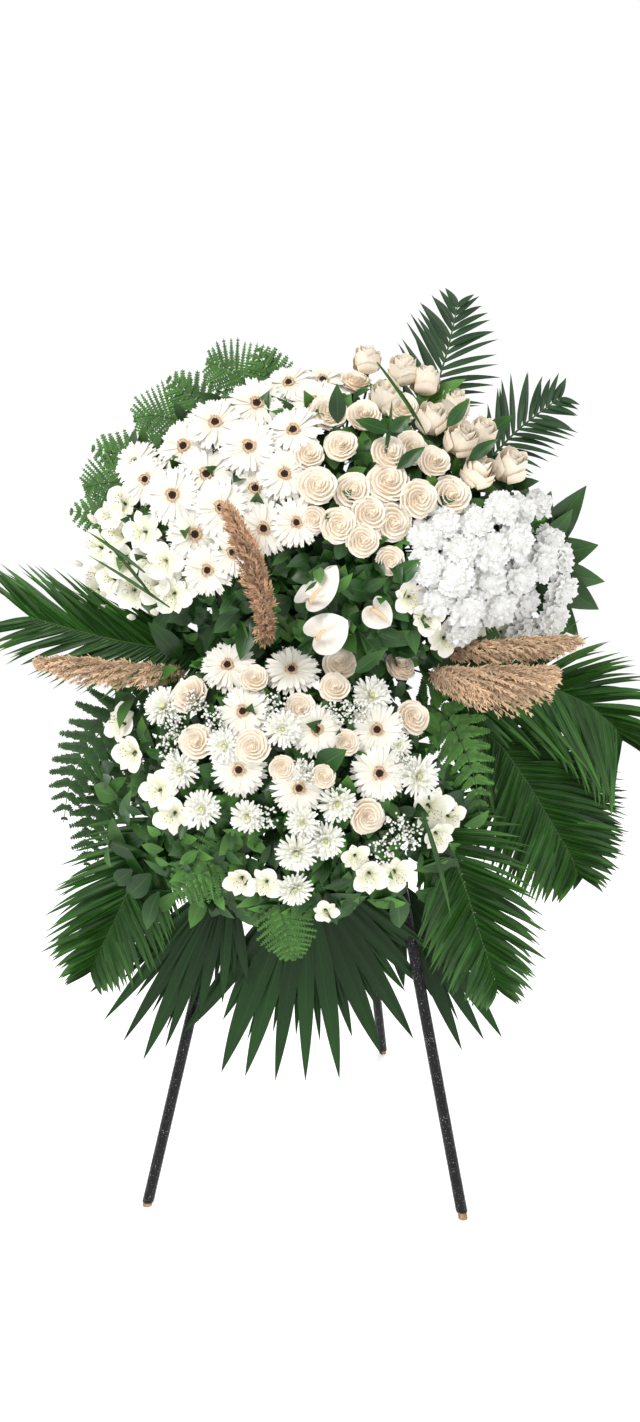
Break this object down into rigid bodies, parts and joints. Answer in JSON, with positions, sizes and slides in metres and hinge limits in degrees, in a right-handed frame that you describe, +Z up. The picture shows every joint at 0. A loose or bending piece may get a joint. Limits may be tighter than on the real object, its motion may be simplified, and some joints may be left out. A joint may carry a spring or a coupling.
{
  "type": "funeral wreath on a stand",
  "caption": "Standing funeral wreath: two domed groups of white and cream flowers with palm, fern and grass plumes, on a three-legged stand with wrapped legs.",
  "frame": {"origin": "middle of the bounding box in plan, on the floor that the feet stand on", "axes": "+Z up, the front of the wreath faces -Y, +X to the viewer's right"},
  "size_m": [1.2636, 0.942, 1.7602],
  "materials": {
    "stand_wood": "bare sawn wood",
    "black_film": "black crinkled film with silver specks",
    "tray_plastic": "moulded green",
    "floral_foam": "open foam",
    "filler_leaves": "mass of small leaves",
    "grey_palm": "satin leaf",
    "fan_palm": "satin leaf",
    "palm": "satin leaf",
    "fern": "matt leaf",
    "glossy_leaf": "waxy leaf",
    "grass_plume": "dry fluff",
    "lily_bract": "waxy, pearly",
    "gerbera_petal": "soft petal, dark eye",
    "rose_petal": "soft cream petal",
    "carnation_petal": "ruffled petal",
    "alstroemeria_petal": "petal with brown dashes",
    "chrysanthemum_petal": "soft petal, green heart"
  },
  "bodies": {
    "root": {"left_leg_pole": "stand_wood", "left_leg_wrap": "black_film", "right_leg_pole": "stand_wood", "right_leg_wrap": "black_film", "rear_leg_pole": "stand_wood", "rear_leg_wrap": "black_film", "apex_binding": "black_film", "upper_cross_batten": "stand_wood", "upper_foam_tray": "tray_plastic", "lower_cross_batten": "stand_wood", "lower_foam_tray": "tray_plastic", "upper_foam_block": "floral_foam", "lower_foam_block": "floral_foam", "top_palm_frond": "grey_palm", "top_right_palm_frond": "grey_palm", "left_palm_frond": "palm", "lower_left_palm_frond": "palm", "upper_right_palm_frond": "palm", "middle_right_palm_frond": "palm", "lower_right_palm_frond": "palm", "rear_right_palm_frond": "palm", "centre_fan_palm_leaf": "fan_palm", "left_fan_palm_leaf": "fan_palm", "right_fan_palm_leaf": "fan_palm", "upper_left_fern_frond": "fern", "lower_left_fern_frond": "fern", "rim_fern_top": "fern", "rim_fern_top_left": "fern", "rim_fern_left": "fern", "rim_fern_lower_left": "fern", "right_leatherleaf": "fern", "bottom_leatherleaf": "fern", "left_leatherleaf": "fern", "right_rim_leaves": "glossy_leaf", "valley_leaf_cluster": "glossy_leaf", "centre_grass_plume": "grass_plume", "left_grass_plume": "grass_plume", "right_grass_plume": "grass_plume", "rear_right_grass_plume": "grass_plume", "upper_lily": "lily_bract", "lower_lily": "lily_bract", "right_lily": "lily_bract", "upper_gerbera_bunch": "gerbera_petal", "upper_rose_bunch": "rose_petal", "carnation_bunch": "carnation_petal", "upper_alstroemeria_bunch": "alstroemeria_petal", "lower_gerbera_1": "gerbera_petal", "lower_gerbera_2": "gerbera_petal", "lower_gerbera_3": "gerbera_petal", "lower_gerbera_4": "gerbera_petal", "lower_gerbera_5": "gerbera_petal", "lower_gerbera_6": "gerbera_petal", "lower_gerbera_7": "gerbera_petal", "lower_gerbera_8": "gerbera_petal", "lower_rose_group": "rose_petal", "lower_chrysanthemum_group": "chrysanthemum_petal", "lower_alstroemeria_group": "alstroemeria_petal", "upper_greenery_bed": "filler_leaves", "lower_greenery_bed": "filler_leaves"}
  },
  "joints": []
}
